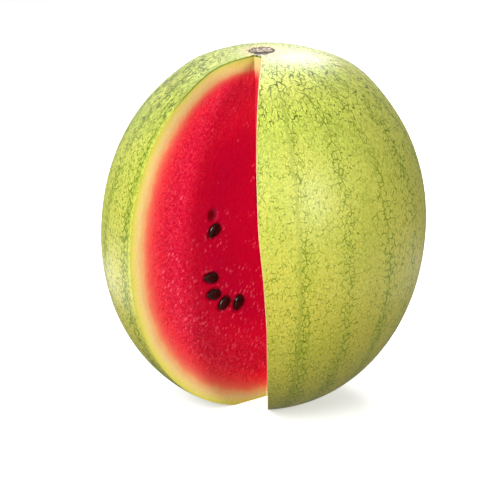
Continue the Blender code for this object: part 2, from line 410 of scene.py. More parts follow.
def on_cut(out, polar, share):
    """A direction on a cut face, and the point at a share of the skin's distance along it."""
    towards = out * math.sin(math.radians(polar)) + UP * math.cos(math.radians(polar))
    return towards, towards * float(skin_radius(np.array(towards)[None])[0]) * share


def turned(out, towards, degrees):
    """A direction in the plane of out and UP, turned downwards from towards."""
    down = towards.cross(out.cross(UP)).normalized()
    angle = math.radians(degrees)
    return (towards * math.cos(angle) + down * math.sin(angle)).normalized()


def right_cut_x(height):
    """X of the right cut face at a height."""
    return float(np.interp(height, [row[0] for row in NOTCH_ROWS], [row[1] for row in NOTCH_ROWS]))


def seed_places():
    """(middle, normal, long axis) of every seed."""
    draw = random.Random(7)
    towards, at = on_cut(LEFT_OUT, LONE_SEED[0], LONE_SEED[1])
    places = [(at + LEFT_NORMAL * LEFT_OFFSET, LEFT_NORMAL, turned(LEFT_OUT, towards, LONE_SEED[2]))]
    for (first, last, count), out, normal in (
        (LEFT_ROW, LEFT_OUT, LEFT_NORMAL),
        (RIGHT_ROW, RIGHT_OUT, RIGHT_NORMAL),
    ):
        for i in range(count):
            polar = first + (last - first) * i / (count - 1)
            share = SEED_ROW + draw.uniform(-SEED_SCATTER, SEED_SCATTER)
            towards, at = on_cut(out, polar, share)
            if out is LEFT_OUT:
                at = at + LEFT_NORMAL * LEFT_OFFSET
            else:
                at.x = right_cut_x(at.z)
            turn = draw.uniform(-1, 1) * SEED_TURN
            places.append((at, normal, turned(out, towards, turn)))
    return places


seeds_at = seed_places()
print("seeds:", len(seeds_at), "the one in view at", [round(v, 1) for v in seeds_at[0][0]])

# %% [markdown]
# A knife leaves flesh neither flat nor smooth. The cells burst into small wet grains, coarse towards the
# rind and finer in the heart, the blade drags long shallow waves, and beside the stem the last bit of
# the wedge tore off and left fibres that fan out. All of that is a height over the clean cut. It is
# worked out from noise at a few sizes and pushed into the surface, because real relief catches the
# light at its edges as a painted pattern can't.

# %% Relief of the cut flesh
GRAIN = 1.9
FINE_GRAIN = 1.0
WAVE = 26.0
WAVE_HEIGHT = 0.35
TEAR = 3.2
TEAR_HEIGHT = 0.6
SEED_LENGTH = 11.6
SEED_WIDTH = 7.6
SEED_THICKNESS = 3.4
BED_DEPTH = 1.3
# The hollow that a dropped seed left: polar angle, share of the way out, half width, half height.
POCKET = (68.9, 0.43, 4.6, 5.8)
POCKET_DEPTH = 1.6
# Only points this near a cut face's plane, in millimetres, belong to a bed or the hollow on it.
FACE_REACH = 6


def noise_at(points, size, shift):
    """Smooth noise from -1 to 1 at rows of points, with features about size millimetres across."""
    return np.array([noise.noise(Vector(p)) for p in points / size + shift])


def grains_at(points, size):
    """Rounded grains: 1 in the middle of each, 0 between them."""
    nearest = np.array([noise.voronoi(Vector(p))[0][0] for p in points / size])
    return 1 - np.clip(nearest / 0.75, 0, 1) ** 2


def smooth_step(low, high, values):
    """0 below low, 1 above high, with a soft step between."""
    t = np.clip((values - low) / (high - low), 0, 1)
    return t * t * (3 - 2 * t)


def seed_pits(points):
    """How strongly each point lies in a seed's bed, from 0 to 1, as the largest over the seeds."""
    deepest = np.zeros(len(points))
    for at, normal, long_axis in seeds_at:
        away = points - np.array(at)
        along = away @ np.array(long_axis) / (SEED_LENGTH / 2 + 1.2)
        across = away @ np.array(normal.cross(long_axis)) / (SEED_WIDTH / 2 + 1.0)
        beyond = away @ np.array(normal)
        near = np.abs(beyond) < FACE_REACH
        deepest = np.maximum(deepest, near * (1 - smooth_step(0.55, 1.25, np.hypot(along, across))))
    return deepest


def empty_pocket(points):
    """How strongly each point lies in the hollow of the dropped seed, from 0 to 1."""
    middle = on_cut(LEFT_OUT, POCKET[0], POCKET[1])[1] + LEFT_NORMAL * LEFT_OFFSET
    away = points - np.array(middle)
    off_middle = np.hypot(away @ np.array(LEFT_OUT) / POCKET[2], away[:, 2] / POCKET[3])
    near = np.abs(away @ np.array(LEFT_NORMAL)) < FACE_REACH
    return near * (1 - smooth_step(0.45, 1.1, off_middle))


def flesh_relief(points, torn):
    """Height in millimetres over the clean cut, outwards, for points on it."""
    depth = depth_under_skin(points)
    grainy = smooth_step(9, 20, depth)
    outer = 1 - smooth_step(38, 62, depth)
    height = grainy * (0.16 + 0.16 * outer) * grains_at(points, GRAIN)
    height += grainy * (0.05 + 0.07 * outer) * noise_at(points, FINE_GRAIN, 11.0)
    height += smooth_step(2, 30, depth) * WAVE_HEIGHT * noise_at(points, WAVE, 3.0)
    upright = points * np.array([1, 1, 0.25])
    height += smooth_step(2, 12, depth) * torn * TEAR_HEIGHT * noise_at(upright, TEAR, 7.0)
    height -= BED_DEPTH * seed_pits(points)
    height -= POCKET_DEPTH * empty_pocket(points)
    return height


print("deepest seed bed in mm:", BED_DEPTH, "empty pocket:", POCKET_DEPTH)


# %% [markdown]
# The wedge that is taken out is a closed body too. Its two cut faces and the blunt tip between them are
# one sheet, a grid folded along the tip, so that no seam runs down the middle of the notch. The grid is
# one millimetre fine, and its rows follow the fruit's height. Where the sheet lies well inside the
# fruit it carries the relief. Then the sheet is closed at the top, at the bottom and in front, far
# outside the fruit, where only a clean lid is needed.

# %% The wedge
REACH = 170.0
TEAR_START = -38.0
BLUNT_SLANT = 0.8
SIDE_COLUMNS = 140
SIDE_REACH = 140.0
TIP_COLUMNS = 8
CUT_HEIGHT = 134
SOFTEN = np.linspace(-7, 7, 9)


def notch_value(heights, column):
    """A column of the notch's rows, read at any height and softened where its rows meet."""
    known = [row[0] for row in NOTCH_ROWS]
    values = [row[column] for row in NOTCH_ROWS]
    return np.mean([np.interp(heights + shift, known, values) for shift in SOFTEN], axis=0)


def left_plane_y(x):
    """Y of the left cut face at an x."""
    return (LEFT_OFFSET - LEFT_NORMAL.x * x) / LEFT_NORMAL.y


def wedge():
    """The closed body of the wedge, with the relief of both cut faces on its sheet."""
    columns = 2 * SIDE_COLUMNS + TIP_COLUMNS
    rows = 2 * CUT_HEIGHT
    bm = bmesh.new()
    bmesh.ops.create_grid(bm, x_segments=columns, y_segments=rows, size=1)
    spots = np.array([vert.co for vert in bm.verts])
    column = np.rint((spots[:, 0] + 1) / 2 * columns).astype(int)
    row = np.rint((spots[:, 1] + 1) / 2 * rows).astype(int)
    height = (row - CUT_HEIGHT).astype(float)
    height[row == 0] = -REACH
    height[row == rows] = REACH
    blade_x = notch_value(height, 1)
    blunt = notch_value(height, 2)
    tear = notch_value(height, 3)
    tip_x = blade_x - blunt
    tip_y = left_plane_y(tip_x) - tear
    left = np.clip((SIDE_COLUMNS - column) / SIDE_COLUMNS, 0, 1)
    tip = np.clip((column - SIDE_COLUMNS) / TIP_COLUMNS, 0, 1)
    right = np.clip((column - SIDE_COLUMNS - TIP_COLUMNS) / SIDE_COLUMNS, 0, 1)
    x = tip_x + left * SIDE_REACH * LEFT_OUT.x + tip * blunt
    torn = np.clip(1 - (tip_x - x) / (tip_x - TEAR_START), 0, 1) * (column <= SIDE_COLUMNS)
    torn_y = np.where(left > 0, left_plane_y(x) - tear * smooth_step(0, 1, torn), tip_y)
    y = torn_y - tip * BLUNT_SLANT * blunt - right * SIDE_REACH
    points = np.stack([x, y, height], axis=1)
    inside = (depth_under_skin(points) > 0.5) & (left < 1) & (right < 1)
    lifted = np.zeros(len(points))
    lifted[inside] = flesh_relief(points[inside], (torn * smooth_step(1, 6, tear))[inside])
    out = np.where((right > 0)[:, None], np.array(RIGHT_NORMAL), np.array(LEFT_NORMAL))
    on_tip = (tip > 0) & (tip < 1)
    out[on_tip] = np.array([0, -1, 0])
    points += out * lifted[:, None]
    for vert, point in zip(bm.verts, (points + np.array(FRUIT_CENTRE) / MM) * MM):
        vert.co = point
    edge = {
        (c, r): vert
        for vert, c, r in zip(bm.verts, column, row)
        if c in (0, columns) or r in (0, rows)
    }
    bm.faces.new([edge[c, 0] for c in range(columns + 1)])
    bm.faces.new([edge[c, rows] for c in range(columns, -1, -1)])
    left_side = [edge[0, r] for r in range(rows, -1, -1)]
    bm.faces.new(left_side + [edge[columns, r] for r in range(rows + 1)])
    bmesh.ops.recalc_face_normals(bm, faces=bm.faces)
    mesh = bpy.data.meshes.new("wedge")
    bm.to_mesh(mesh)
    bm.free()
    return mesh


wedge_mesh = wedge()
boolean(skin, "DIFFERENCE", link_mesh("wedge_for_skin", wedge_mesh))
boolean(flesh, "DIFFERENCE", link_mesh("wedge_for_flesh", wedge_mesh))
print("after the cut, skin faces:", len(skin.data.polygons), "flesh faces:", len(flesh.data.polygons))

# %% [markdown]
# The skin of a round pale melon is thin, hard and waxy. Its ground runs from yellow to green in soft
# patches. Over it lie about twenty bands of fine dark veins that run from stem to blossom end: each band
# is a broken chain of small meshes, with short strokes beside it and a fainter net between the bands.
# The net will be drawn on maps of the skin that are stored on the mesh. One unrolls the skin: across it
# runs the way round the fruit, and down it the way from the stem, both in millimetres at the widest
# place. Its seam lies in the missing wedge. Round the stem that map would squeeze the small meshes
# together, so a second one looks straight down on the stem. The position in a band is stored as a sine
# and a cosine, which have no seam.

# %% Bands on the skin
BANDS = 21
BAND_START = 21.0
SEAM_AZIMUTH = -12.0
skin_points = mesh_points(skin.data)
stem = direction(SCAR_POLAR, 0)
front_axis = direction(90 + SCAR_POLAR, 0)
side_axis = -np.cross(stem, front_axis)
around = np.arctan2(skin_points @ side_axis, skin_points @ front_axis)
set_attribute(skin.data, "band_cos", np.cos(BANDS * (around - math.radians(BAND_START))))
set_attribute(skin.data, "band_sin", np.sin(BANDS * (around - math.radians(BAND_START))))
set_attribute(skin.data, "depth_mm", depth_under_skin(skin_points))
towards = skin_points / np.linalg.norm(skin_points, axis=1)[:, None]
stem_angle = np.arccos(np.clip(towards @ stem, -1, 1))
set_attribute(skin.data, "from_stem_degrees", np.degrees(stem_angle))
seam_angle = np.mod(around - math.radians(SEAM_AZIMUTH), 2 * math.pi)
set_attribute(skin.data, "unrolled_mm", np.stack([seam_angle, stem_angle, 0 * around], axis=1) * HALF_WIDTH)
# The view down on the stem is stretched near its middle, so that its meshes get smaller there.
CROWN_REACH = 40.0
CROWN_STRETCH = 0.58
crown_radius = CROWN_REACH * (stem_angle * HALF_WIDTH / CROWN_REACH) ** CROWN_STRETCH
crown_spokes = np.stack([np.cos(around), np.sin(around), 0 * around], axis=1)
set_attribute(skin.data, "crown_mm", crown_spokes * crown_radius[:, None])
# Millimetres from each cut, on the half of the fruit that the cut is in, and far off on the other half.
FAR_OFF = 50
right_gap = np.abs(skin_points[:, 0] - notch_value(skin_points[:, 2], 1))
set_attribute(skin.data, "from_right_cut", np.where(skin_points[:, 1] < 0, right_gap, FAR_OFF))
left_gap = np.abs(skin_points @ np.array(LEFT_NORMAL) - LEFT_OFFSET)
set_attribute(skin.data, "from_left_cut", np.where(skin_points @ np.array(LEFT_OUT) > 0, left_gap, FAR_OFF))
set_attribute(skin.data, "from_scar", share_of_scar(skin_points))
print("bands:", BANDS, "about", round(2 * math.pi * HALF_WIDTH / BANDS), "mm apart at the middle")

# %% [markdown]
# Every finish is made of the same few patterns: noise for what is uneven, soft steps for what fades,
# and blends of two colours. Each gets a small function. They write into the node tree in hand, so every
# finish starts by making its tree and the place on its piece, and the skin's is the first.

# %% Patterns
skin_finish, tree, shader = new_finish("waxy_melon_skin")
spot = place_in_mm(tree)


def noise_node(size, detail=2.0, shift=0.0, squeeze=(1, 1, 1), roughness=0.5, output=0, where=None):
    """Noise with features about size millimetres across, moved by shift and stretched along an axis."""
    sockets = {"Vector": where or spot, "Location": (shift, shift, shift), "Scale": squeeze}
    moved = add(tree, "Mapping", sockets).outputs[0]
    sockets = {"Vector": moved, "Scale": 1 / size, "Detail": detail, "Roughness": roughness}
    return add(tree, "TexNoise", sockets).outputs[output]


def maths(operation, first, second=0.5):
    """One step of arithmetic on two sockets or numbers."""
    return add(tree, "Math", {0: first, 1: second}, operation=operation).outputs[0]


def times(first, second):
    """The product of two sockets or numbers."""
    return maths("MULTIPLY", first, second)


def plus(first, second):
    """Their sum."""
    return maths("ADD", first, second)


def minus(first, second):
    """The first less the second."""
    return maths("SUBTRACT", first, second)


def stored(name, output="Fac"):
    """What set_attribute stored on the mesh under a name."""
    return add(tree, "Attribute", attribute_name=name).outputs[output]


def fade(value, low, high):
    """1 below low, 0 above high, with a soft step between."""
    sockets = {"Value": value, "From Min": low, "From Max": high, "To Min": 1.0, "To Max": 0.0}
    return add(tree, "MapRange", sockets, interpolation_type="SMOOTHSTEP").outputs[0]


def rise(value, low, high):
    """0 below low, 1 above high, with a soft step between."""
    sockets = {"Value": value, "From Min": low, "From Max": high}
    return add(tree, "MapRange", sockets, interpolation_type="SMOOTHSTEP").outputs[0]


def blend(share, under, over):
    """The colour under, covered by the colour over for a share from 0 to 1."""
    # A Mix node's sockets go by number: 0 is the share, 2 and 3 are numbers, 6 and 7 are colours.
    return add(tree, "Mix", {0: share, 6: under, 7: over}, data_type="RGBA").outputs[2]


print("the first tree is in:", skin_finish.name)

# %% [markdown]
# The veins are green strands just under the wax, and drawing them one by one would take thousands of
# curves. A Voronoi texture has them in one node: it divides the skin into cells, and a line along every
# edge between two cells is a net. Noise pushes the lines about, so that they crinkle, and more noise
# thins them to nothing here and there, so that they break up into strokes. Three sizes lie over each
# other: a chain of cells down the middle of each band, strokes beside it, and a fine net all over. So
# the bands come first, then the strokes, and then the nets that are made of them.

# %% Where the bands run
# Millimetres from the middle of the nearest band, with noise added so that the bands wander.
WANDER = 13.0
phase = maths("ARCTAN2", stored("band_sin"), stored("band_cos"))
x_mm, y_mm, z_mm = add(tree, "SeparateXYZ", {0: spot}).outputs
off_axis = maths("SQRT", plus(maths("POWER", x_mm, 2.0), maths("POWER", y_mm, 2.0)))
from_band = maths("DIVIDE", times(phase, off_axis), float(BANDS))
wander = times(minus(noise_node(16.0, 2.0, 60, (1, 1, 0.7)), 0.5), WANDER)
off_strand = maths("ABSOLUTE", plus(from_band, wander))
in_band = fade(off_strand, 1.0, 8.0)
in_band_share = times(in_band, 0.12)
# The chain down the middle breaks in patches, and is weaker at the crown, where the fine net is stronger.
crown = rise(z_mm, MIDDLE_HEIGHT + 55, MIDDLE_HEIGHT + 112)
unbroken = rise(noise_node(24.0, 2.0, 520), 0.36, 0.60)
core_height = minus(0.28, times(crown, 0.15))
core_lift = times(core_height, plus(times(unbroken, 0.65), 0.35))
core_base = minus(times(crown, 0.07), 0.10)
core_share = plus(times(fade(off_strand, 1.0, 6.0), core_lift), core_base)
fine_strength = plus(0.36, times(crown, 0.2))
print("bands wander by up to", WANDER / 2, "mm either way")

# %% Strokes and nets


def strokes(cell, width, tall, shown, shift, where):
    """Crinkled strokes round cells cell millimetres across, tapering to nothing as shown goes to 0."""
    crinkle = noise_node(cell * 0.7, 1.0, shift, (1, 1, 1), 0.5, 1, where)
    push = add(tree, "VectorMath", {0: crinkle, 1: (-0.5, -0.5, -0.5)}, operation="ADD").outputs[0]
    pushed = add(tree, "VectorMath", {0: push, "Scale": cell * 0.7}, operation="SCALE").outputs[0]
    moved = add(tree, "VectorMath", {0: where, 1: pushed}, operation="ADD").outputs[0]
    laid = add(tree, "Mapping", {"Vector": moved, "Location": (shift, shift, 0), "Scale": (1, 1 / tall, 0)})
    sockets = {"Vector": laid.outputs[0], "Scale": 1 / cell}
    settings = {"feature": "DISTANCE_TO_EDGE", "voronoi_dimensions": "2D"}
    edge = add(tree, "TexVoronoi", sockets, **settings).outputs["Distance"]
    reach = maths("MAXIMUM", times(times(shown, 0.5 / cell), width), 0.002)
    return fade(maths("DIVIDE", edge, reach), 0.45, 1.0)


def net(cell, width, tall, where):
    """A chain of cells down the middle of every band, strokes beside it, and a fine net all over."""
    in_chain = plus(noise_node(cell * 0.7, 2.0, 120, where=where), core_share)
    in_strokes = plus(noise_node(cell * 0.6, 2.0, 150, where=where), in_band_share)
    in_fine = noise_node(cell * 0.5, 2.0, 180, where=where)
    chain = strokes(cell, width, tall, rise(in_chain, 0.43, 0.60), 0, where)
    beside = strokes(cell * 0.72, width, tall, rise(in_strokes, 0.46, 0.64), 30, where)
    fine = strokes(cell * 0.46, width, tall, rise(in_fine, 0.38, 0.66), 90, where)
    return maths("MAXIMUM", maths("MAXIMUM", chain, times(beside, 0.85)), times(fine, fine_strength))


print("nodes before the nets:", len(tree.nodes))

# %% Net of veins
# Where each net lies, and the width of its lines, which grows towards the left side.
unrolled_mm = stored("unrolled_mm", "Vector")
crown_mm = stored("crown_mm", "Vector")
from_stem = stored("from_stem_degrees")
near_stem = fade(from_stem, 22.0, 34.0)
wide_cells = maths("MAXIMUM", fade(from_stem, 34.0, 52.0), rise(x_mm, 58.0, 84.0))
left_flank = rise(times(x_mm, -1.0), 15.0, 65.0)
upper_left = times(left_flank, rise(z_mm, MIDDLE_HEIGHT, MIDDLE_HEIGHT + 70))
small_line = plus(0.7, times(left_flank, 0.75))
wide_line = plus(1.05, times(upper_left, 1.3))
crown_line = plus(0.85, times(left_flank, 0.95))
# Cells 4.5 mm wide over most of the skin, 7.4 mm at the crown and the right side, 5.2 mm round the stem.
small_net = net(4.5, small_line, 1.6, unrolled_mm)
wide_net = net(7.4, wide_line, 1.2, unrolled_mm)
crown_net = net(5.2, crown_line, 1.0, crown_mm)
away_from_stem = add(tree, "Mix", {0: wide_cells, 2: small_net, 3: wide_net}).outputs[0]
veins = add(tree, "Mix", {0: near_stem, 2: away_from_stem, 3: crown_net}).outputs[0]
print("nodes in the net of veins:", len(tree.nodes))

# %% [markdown]
# Between the veins the skin is yellow low down and green above, in soft patches with fine mottling. Round
# the stem it is painted paler, a painted highlight for the glare of the light behind, and on the right it
# is painted a warmer yellow, a painted warm shade. The scar adds a worn tan patch and a ragged dark ring.
# At the cuts the thickness of the skin shows as a pale green edge, with a thin fray beside it on the right.
# Beside the left cut the skin is painted paler, a painted light, and near the top that strip and the cut
# edge are painted dark olive, a painted shade. Over it all lies plant wax, which is half glossy, and its
# refraction is 1.45. The veins are the slightest of dents in it.

# %% Ground of the skin
patches = noise_node(30.0, 3.0, 300, (1, 1, 0.55))
LOW_GROUND = ((0.30, "bdb93e"), (0.50, "c9bf46"), (0.70, "d0c24c"))
HIGH_GROUND = ((0.30, "a9b945"), (0.50, "b9c44f"), (0.70, "c5c856"))
low_ground = add(tree, "ValToRGB", {0: patches}, stops=LOW_GROUND).outputs[0]
high_ground = add(tree, "ValToRGB", {0: patches}, stops=HIGH_GROUND).outputs[0]
up_the_fruit = rise(z_mm, MIDDLE_HEIGHT - 50, MIDDLE_HEIGHT + 100)
ground = blend(up_the_fruit, low_ground, high_ground)
# Painted highlight: round the stem the skin is blended towards a pale colour, for the glare of the light
# behind.
painted_crown_glare = blend(times(fade(from_stem, 12.0, 34.0), 0.24), ground, colour("e8eca0"))
# Painted shade: the right side is blended to a warmer, duller yellow, for the warm shade on that side.
painted_warm_shade = times(rise(x_mm, 20.0, 110.0), 0.6)
warm_shaded_ground = blend(painted_warm_shade, painted_crown_glare, colour("c2b74c"))
green_motes = rise(noise_node(1.7, 2.0, 200), 0.40, 0.66)
mottled = blend(times(green_motes, 0.32), warm_shaded_ground, colour("97a336"))
pale_flecks = rise(noise_node(1.5, 2.0, 230), 0.52, 0.68)
flecked = blend(times(pale_flecks, 0.3), mottled, colour("e4ea7c"))
smudge_strength = minus(0.22, times(up_the_fruit, 0.14))
banded = blend(times(times(in_band, unbroken), smudge_strength), flecked, colour("92aa36"))
print("nodes with the ground:", len(tree.nodes))

# %% Round the scar and at the cuts
vein_green = blend(crown, colour("6a7c00"), colour("3e5000"))
# Painted light and shade: within a few millimetres of the left cut the skin is painted paler and its veins
# weaker,
# for the light on it there, and near the top that strip is painted dark olive, for the shade on it.
by_left_cut = fade(stored("from_left_cut"), 1.0, 5.0)
at_the_top = rise(z_mm, MIDDLE_HEIGHT + 90, MIDDLE_HEIGHT + 108)
painted_strip_light_and_shade = blend(at_the_top, colour("d6dc54"), colour("8a9a34"))
painted_lit_strip = blend(times(by_left_cut, 0.45), banded, painted_strip_light_and_shade)
vein_strength = minus(0.96, times(by_left_cut, 0.5))
veined = blend(times(veins, vein_strength), painted_lit_strip, vein_green)
worn_patches = noise_node(14.0, 3.0, 450, (1, 0.4, 1), where=unrolled_mm)
tanned = blend(times(fade(from_stem, 4.5, 9.0), worn_patches), veined, colour("c8a878"))
ragged_ring = plus(stored("from_scar"), times(noise_node(1.8, 3.0, 470), -1.3))
from_right_cut = stored("from_right_cut")
torn_ring = minus(ragged_ring, times(fade(from_right_cut, 3.0, 6.5), 0.5))
ringed = blend(times(fade(torn_ring, 0.28, 0.44), 0.88), tanned, colour("1e140a"))
frayed = plus(from_right_cut, times(noise_node(1.6, 2.0, 500), -1.2))
frayed_skin = blend(fade(frayed, -0.42, -0.08), ringed, colour("e8c088"))
# The cut edge of the skin is pale yellow-green, and near the top it is painted dark olive, a painted shade
# on that edge.
cut_edge_and_painted_shade = blend(at_the_top, colour("e2dc5c"), colour("7d9634"))
torn_edge = blend(fade(ragged_ring, 0.6, 0.95), cut_edge_and_painted_shade, colour("1e140a"))
skin_colour = blend(fade(stored("depth_mm"), 0.1, 0.35), torn_edge, frayed_skin)
tree.links.new(skin_colour, shader.inputs["Base Color"])
print("nodes with the scar and the cuts:", len(tree.nodes))

# %% Waxy skin
wax_height = minus(noise_node(5.0, 4.0, 400), veins)
dents = add(tree, "Bump", {"Height": wax_height, "Strength": 0.25, "Distance": 0.2 * MM})
tree.links.new(dents.outputs[0], shader.inputs["Normal"])
set_values(shader, {"Roughness": 0.38, "IOR": 1.45})
skin.data.materials.clear()
skin.data.materials.append(skin_finish)
print("skin nodes:", len(tree.nodes))

# %% [markdown]
# From the skin inwards the fruit changes colour without a line: a green edge, a cream rind, peach, coral
# and at last the deep red heart. That is one colour ramp over the depth under the skin, which is stored
# on the mesh in millimetres, so the layers keep their real widths wherever a knife goes. Beside the
# stem the rind is thicker, and the red comes sooner under it.

# %% Depths in the flesh
# How many millimetres the rind gains at the stem, and how many the red comes sooner, each with its reach.
STEM_RIND = 4.2
STEM_RIND_REACH = 24.0
SOONER_RED = 18.0
UNDER_STEM_REACH = 54.0
# Painted glints, pale pink specks that stand for the gleam of wet flesh, gather in a ring near the seed in
# view: from the seed to the ring's middle, then the ring's radius and how far it reaches either way.
GLINT_MIDDLE = (3.5, 0, 5.0)
GLINT_RING = (9.0, 3.0)
# The darkest flesh, a ring under the stem: its distance from the axis, its height, and how far it reaches.
DARK_HEART = (29.0, 102.0, 13.0, 10.0)
flesh_points = mesh_points(flesh.data)
off_axis_mm = np.hypot(flesh_points[:, 0], flesh_points[:, 1])
stem_share = np.exp(-((off_axis_mm / STEM_RIND_REACH) ** 2)) * (flesh_points[:, 2] > 0)
flesh_depth = depth_under_skin(flesh_points)
under_stem = np.exp(-((off_axis_mm / UNDER_STEM_REACH) ** 2)) * (flesh_points[:, 2] > 0)
sooner_red = SOONER_RED * under_stem * smooth_step(7, 21, flesh_depth)
thicker = STEM_RIND * stem_share * smooth_step(1, 6, flesh_depth)
set_attribute(flesh.data, "depth_mm", np.maximum(flesh_depth - thicker + sooner_red, 0))
set_attribute(flesh.data, "at_stem", stem_share)
tip_width = notch_value(flesh_points[:, 2], 2)
on_tip = flesh_points[:, 0] > notch_value(flesh_points[:, 2], 1) - tip_width * 0.97
set_attribute(flesh.data, "blunt_tip", on_tip * smooth_step(110, 120, flesh_points[:, 2]))
set_attribute(flesh.data, "seed_bed", np.maximum(seed_pits(flesh_points), empty_pocket(flesh_points)))
from_seed = np.linalg.norm(flesh_points - np.array(seeds_at[0][0]) - np.array(GLINT_MIDDLE), axis=1)
set_attribute(flesh.data, "by_seed", np.exp(-(((from_seed - GLINT_RING[0]) / GLINT_RING[1]) ** 2)))
beside_heart = (off_axis_mm - DARK_HEART[0]) / DARK_HEART[2]
off_heart = np.hypot(beside_heart, (flesh_points[:, 2] - DARK_HEART[1]) / DARK_HEART[3])
set_attribute(flesh.data, "dark_heart", np.exp(-(off_heart**2)))
print("deepest flesh in mm:", round(float(flesh_depth.max()), 1))

# %% [markdown]
# A close look at wet flesh shows more than its layers. Pale grains and dark troughs lie side by side, small
# pale pink specks are painted on as wet glints, a painted highlight, and the beds of the seeds and the
# empty pocket are painted darker, a painted shade in those hollows. Beside the stem, where the wedge tore
# off, it is fibrous, with a tan and green rind and pale pith at the tip. Wet flesh also lets some light in
# and scatters it, the red farthest, so it has subsurface scattering under its gloss.

# %% Layers of the flesh
flesh_finish, tree, shader = new_finish("wet_melon_flesh")
spot = place_in_mm(tree)
z_mm = add(tree, "SeparateXYZ", {0: spot}).outputs["Z"]
DEEPEST = 110.0
depth = stored("depth_mm")
uneven = times(minus(noise_node(9.0, 3.0, 0), 0.5), 4.0)
layer = maths("DIVIDE", plus(depth, uneven), DEEPEST)
LAYERS = (
    (0, "d8dc5c"), (2, "e7e56e"), (4, "ecdd81"), (6, "ecd68a"), (8, "eac382"), (10, "eeb274"),
    (12, "ed8b62"), (14, "ec6c55"), (16.5, "ec524d"), (20, "ec363d"), (24, "e41c38"), (29, "d80c37"),
    (35, "d50439"), (42, "da013a"), (50, "de013b"), (60, "da013c"), (70, "d4013f"), (80, "d4013f"),
    (92, "d9013f"),
)
red = add(tree, "ValToRGB", {0: layer}, stops=[(mm / DEEPEST, shade) for mm, shade in LAYERS]).outputs[0]
print("layers:", len(LAYERS))

# %% Grains and painted glints
FLESH_CELL = 1.6
sockets = {"Vector": spot, "Scale": 1 / FLESH_CELL, "Smoothness": 0.4}
from_cell = add(tree, "TexVoronoi", sockets, feature="SMOOTH_F1").outputs["Distance"]
outer_zone = fade(depth, 32.0, 68.0)
pale = times(fade(from_cell, 0.15, 0.55), plus(times(outer_zone, 0.8), 0.5))
worms = fade(maths("ABSOLUTE", minus(noise_node(2.6, 1.5, 600), 0.5)), 0.01, 0.06)
troughs = fade(maths("ABSOLUTE", minus(noise_node(2.2, 1.5, 640), 0.5)), 0.01, 0.05)
in_grain = times(fade(depth, 34.0, 68.0), rise(depth, 13.0, 22.0))
lit_grain = blend(times(pale, 0.08), red, colour("ff6a68"))
lit_grain = blend(times(times(worms, in_grain), 0.54), lit_grain, colour("ff5064"))
lit_grain = blend(times(times(troughs, in_grain), 0.55), lit_grain, colour("b4002a"))
# Painted highlights: pale pink specks in small leaning cells stand in for the glints of wet flesh,
# with more of them low down and by the seed.
GLINT_CELL = 2.2
GLINT_TURN = math.radians(40)
GLINT_STRETCH = 2.8
sockets = {"Vector": spot, "Rotation": (0, GLINT_TURN, 0), "Scale": (1, 1, GLINT_STRETCH)}
leaning = add(tree, "Mapping", sockets, vector_type="TEXTURE").outputs[0]
from_glint = add(tree, "TexVoronoi", {"Vector": leaning, "Scale": 1 / GLINT_CELL}).outputs["Distance"]
glint = fade(from_glint, 0.14, 0.40)
low_flesh = fade(z_mm, MIDDLE_HEIGHT - 40, MIDDLE_HEIGHT + 30)
more_glint = plus(times(low_flesh, 0.17), times(stored("by_seed"), 0.3))
in_glint = rise(plus(noise_node(9.0, 2.0, 70), more_glint), 0.57, 0.70)
glint_shown = times(in_glint, rise(depth, 16.0, 30.0))
painted_glints = blend(times(times(glint, glint_shown), 0.85), lit_grain, colour("ff7088"))
darkened = blend(times(stored("dark_heart"), 0.5), painted_glints, colour("c00034"))
# Painted shade: the seeds' beds and the empty pocket are darkened, for the shade in those hollows.
painted_bed_shade = blend(times(stored("seed_bed"), 0.9), darkened, colour("7c001e"))
print("nodes with grains and burst cells:", len(tree.nodes))

# %% Flesh beside the stem
up_the_flesh = rise(z_mm, MIDDLE_HEIGHT + 45, MIDDLE_HEIGHT + 112)
at_stem = stored("at_stem")
fibres = times(times(at_stem, up_the_flesh), noise_node(5.0, 3.0, 800, (1, 1, 0.3)))
fibrous = blend(times(fibres, 0.5), painted_bed_shade, colour("ff5868"))
tan_share = times(at_stem, fade(depth, 4.0, 15.0))
tan_rind = blend(times(tan_share, 0.6), fibrous, colour("c8a050"))
high_rind = times(rise(z_mm, MIDDLE_HEIGHT + 60, MIDDLE_HEIGHT + 105), fade(depth, 15.0, 27.0))
sockets = {0: high_rind, 6: tan_rind, 7: colour("e4e4e4")}
shaded_top = add(tree, "Mix", sockets, data_type="RGBA", blend_type="MULTIPLY").outputs[2]
green_rim = times(at_stem, fade(depth, 0.2, 4.5))
green_top = blend(times(green_rim, 0.8), shaded_top, colour("9fac40"))
pithy = blend(times(stored("blunt_tip"), 0.7), green_top, colour("e8d898"))
tree.links.new(pithy, shader.inputs["Base Color"])
print("nodes with the torn flesh:", len(tree.nodes))

# %% Wet flesh
sockets = {"Height": from_cell, "Strength": 0.35, "Distance": 0.4 * MM}
bumps = add(tree, "Bump", sockets, invert=True)
tree.links.new(bumps.outputs[0], shader.inputs["Normal"])
set_values(shader, {"Roughness": 0.42, "IOR": 1.36, "Subsurface Weight": 0.3})
set_values(shader, {"Subsurface Radius": (1.0, 0.25, 0.2), "Subsurface Scale": 4 * MM})
flesh.data.materials.clear()
flesh.data.materials.append(flesh_finish)
print("flesh nodes:", len(tree.nodes))

# %% [markdown]
# A ripe seed is a flat, glossy, nearly black drop. One is turned out of a sphere by stretching it,
# narrowing it towards its point and pressing its sides flat, and the same shape then lies in every bed.

# %% Seeds
SEED_SUNK = 0.25


